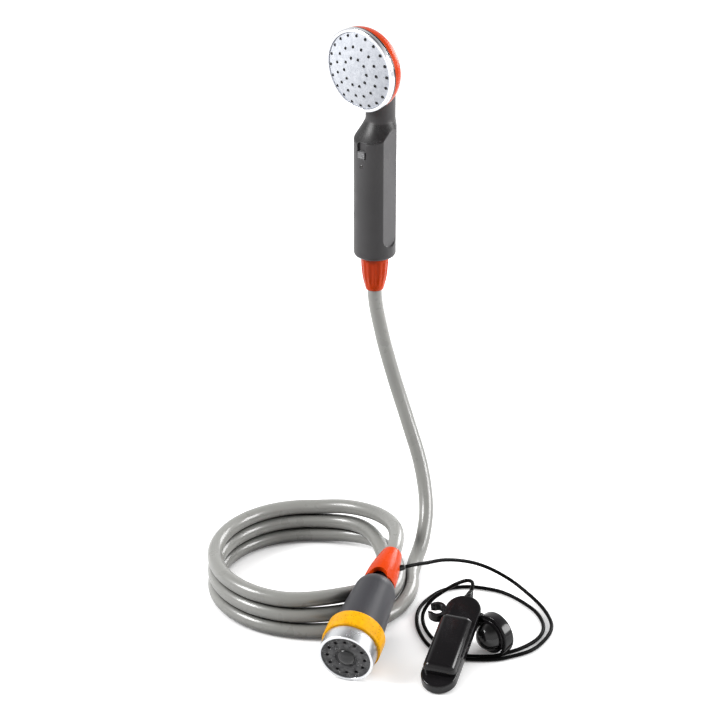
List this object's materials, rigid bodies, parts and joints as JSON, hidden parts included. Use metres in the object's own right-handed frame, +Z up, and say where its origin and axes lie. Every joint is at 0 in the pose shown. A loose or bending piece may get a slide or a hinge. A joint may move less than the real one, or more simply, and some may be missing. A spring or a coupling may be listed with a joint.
{
  "type": "camp shower pump",
  "caption": "Camp shower set: spray handset with thumb switch on a coiled hose, submersible pump with strainer, and a power lead to a clip-on pack with suction cup.",
  "frame": {"origin": "centre of the box around handset, pump and pack, on the floor the set lies on", "axes": "+Z up, +X to the right and -Y to the front as in the picture"},
  "size_m": [0.2949, 0.3183, 0.4677],
  "materials": {
    "grip_grey": "satin",
    "orange": "glossy",
    "spray_white": "speckled",
    "chrome": "polished",
    "rubber_black": "satin",
    "clear_white": "matte",
    "button_grey": "satin",
    "black": "glossy",
    "lens": "glossy",
    "hose_grey": "glossy",
    "pump_grey": "satin",
    "steel": "polished",
    "strainer_grey": "speckled",
    "yellow": "mottled",
    "brass": "machined",
    "lead_black": "glossy",
    "cell_grey": "satin",
    "board_green": "satin"
  },
  "bodies": {
    "set": {"grip_front_shell": "grip_grey", "grip_rear_shell": "grip_grey", "head_housing": "orange", "spray_plate": "spray_white", "face_ring": "chrome", "face_seal": "rubber_black", "water_tube": "clear_white", "switch_body": "black", "indicator_lens": "lens", "hose_nut": "orange", "hose_riser": "hose_grey", "hose_coil": "hose_grey", "hose_tail": "hose_grey", "pump_body": "pump_grey", "collar": "yellow", "intake_plate": "strainer_grey", "shaft_bush": "brass", "motor": "steel", "hood": "orange", "lead_grommet": "rubber_black", "power_lead": "lead_black", "strain_relief": "rubber_black", "pack_base": "black", "pack_cover": "black", "battery_cell": "cell_grey", "circuit_board": "board_green", "cup_arm": "black", "spring_clip": "black"},
    "slide_switch": {"switch_button": "button_grey"},
    "rotor": {"impeller": "clear_white", "pump_shaft": "steel"},
    "strainer": {"strainer_ring": "steel", "strainer_plate": "strainer_grey"},
    "cup": {"suction_cup": "rubber_black"}
  },
  "joints": [
    {"name": "thumb_switch", "type": "slide", "parent": "set", "child": "slide_switch", "axis": [0, 0, 1], "range_m": [0, 0.005]},
    {"name": "impeller_spin", "type": "hinge", "parent": "set", "child": "rotor", "pos_m": [-0.05223, -0.12837, 0.02459], "axis": [0.2888, 0.9445, 0.1564], "continuous": true},
    {"name": "strainer_twist", "type": "hinge", "parent": "set", "child": "strainer", "pos_m": [-0.05426, -0.13498, 0.0235], "axis": [0.2888, 0.9445, 0.1564], "range_deg": [0, 30]},
    {"name": "cup_swivel", "type": "hinge", "parent": "set", "child": "cup", "pos_m": [0.06233, -0.09516, 0.015], "axis": [0.7193, 0.6947, 0], "continuous": true}
  ]
}
